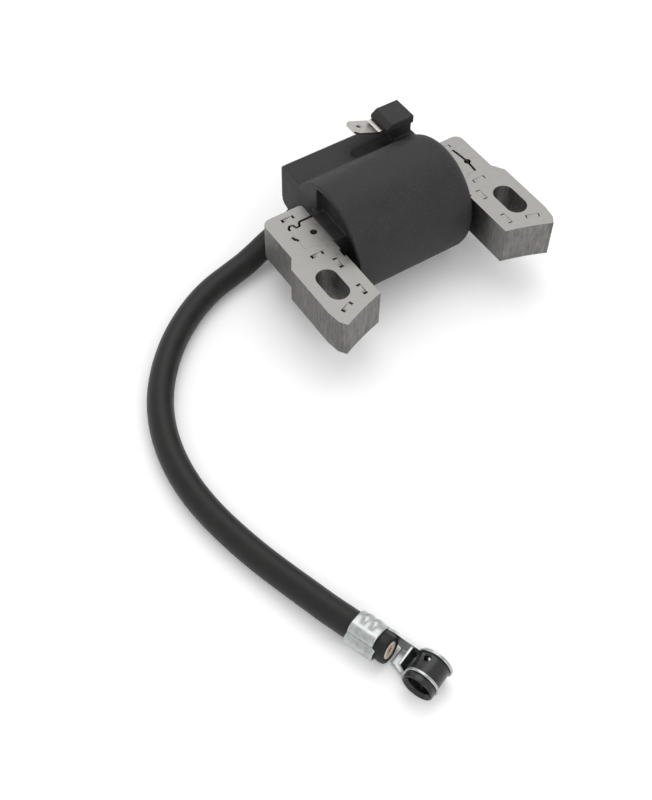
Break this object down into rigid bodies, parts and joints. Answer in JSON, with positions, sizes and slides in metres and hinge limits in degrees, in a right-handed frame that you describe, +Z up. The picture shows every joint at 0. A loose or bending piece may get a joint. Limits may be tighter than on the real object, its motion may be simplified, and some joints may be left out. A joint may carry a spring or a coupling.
{
  "type": "ignition coil",
  "caption": "Potted small-engine ignition coil on a U-shaped laminated core, with a stop blade and a plug lead that ends in a side-entry socket.",
  "frame": {"origin": "midway between the two mounting slots, on the mounting face of the core", "axes": "+X from the left leg to the right leg, +Y from the pole faces to the rear block, +Z up along the lamination stack's normal"},
  "size_m": [0.136, 0.1535, 0.0356],
  "materials": {
    "core_steel": "ground edges of stacked sheet, light satin",
    "case_plastic": "fine moulded grain, matt",
    "tinned_blade": "tin plated, satin",
    "resin": "poured epoxy, semi gloss",
    "bobbin_plastic": "glass filled nylon",
    "secondary_plastic": "glass filled polyester",
    "copper_wire": "enamelled copper",
    "fine_copper_wire": "fine enamelled copper",
    "board_laminate": "solder mask",
    "chip_plastic": "moulded epoxy",
    "resistor_body": "lacquered",
    "capacitor_body": "dipped lacquer",
    "contact_brass": "bright",
    "lead_rubber": "smooth extruded, satin",
    "lead_insulation": "natural inner insulation",
    "lead_copper": "stranded copper",
    "zinc_plate": "bright zinc plate",
    "black_steel": "blackened spring steel",
    "spring_steel": "drawn wire"
  },
  "bodies": {
    "root": {"left_leg_laminations": "core_steel", "right_leg_laminations": "core_steel", "centre_bar_laminations": "core_steel", "coil_case": "case_plastic", "stop_terminal": "tinned_blade", "potting_resin": "resin", "primary_bobbin": "bobbin_plastic", "primary_winding": "copper_wire", "secondary_bobbin": "secondary_plastic", "secondary_winding": "fine_copper_wire", "circuit_board": "board_laminate", "switching_transistor": "chip_plastic", "control_chip": "chip_plastic", "bias_resistors": "resistor_body", "timing_capacitor": "capacitor_body", "ground_contact": "contact_brass", "primary_tails": "copper_wire", "high_voltage_contact": "contact_brass", "secondary_tail": "fine_copper_wire", "lead_jacket": "lead_rubber", "lead_insulation": "lead_insulation", "lead_conductor": "lead_copper", "lead_terminal": "zinc_plate", "plug_socket": "black_steel", "retaining_spring": "spring_steel"}
  },
  "joints": []
}
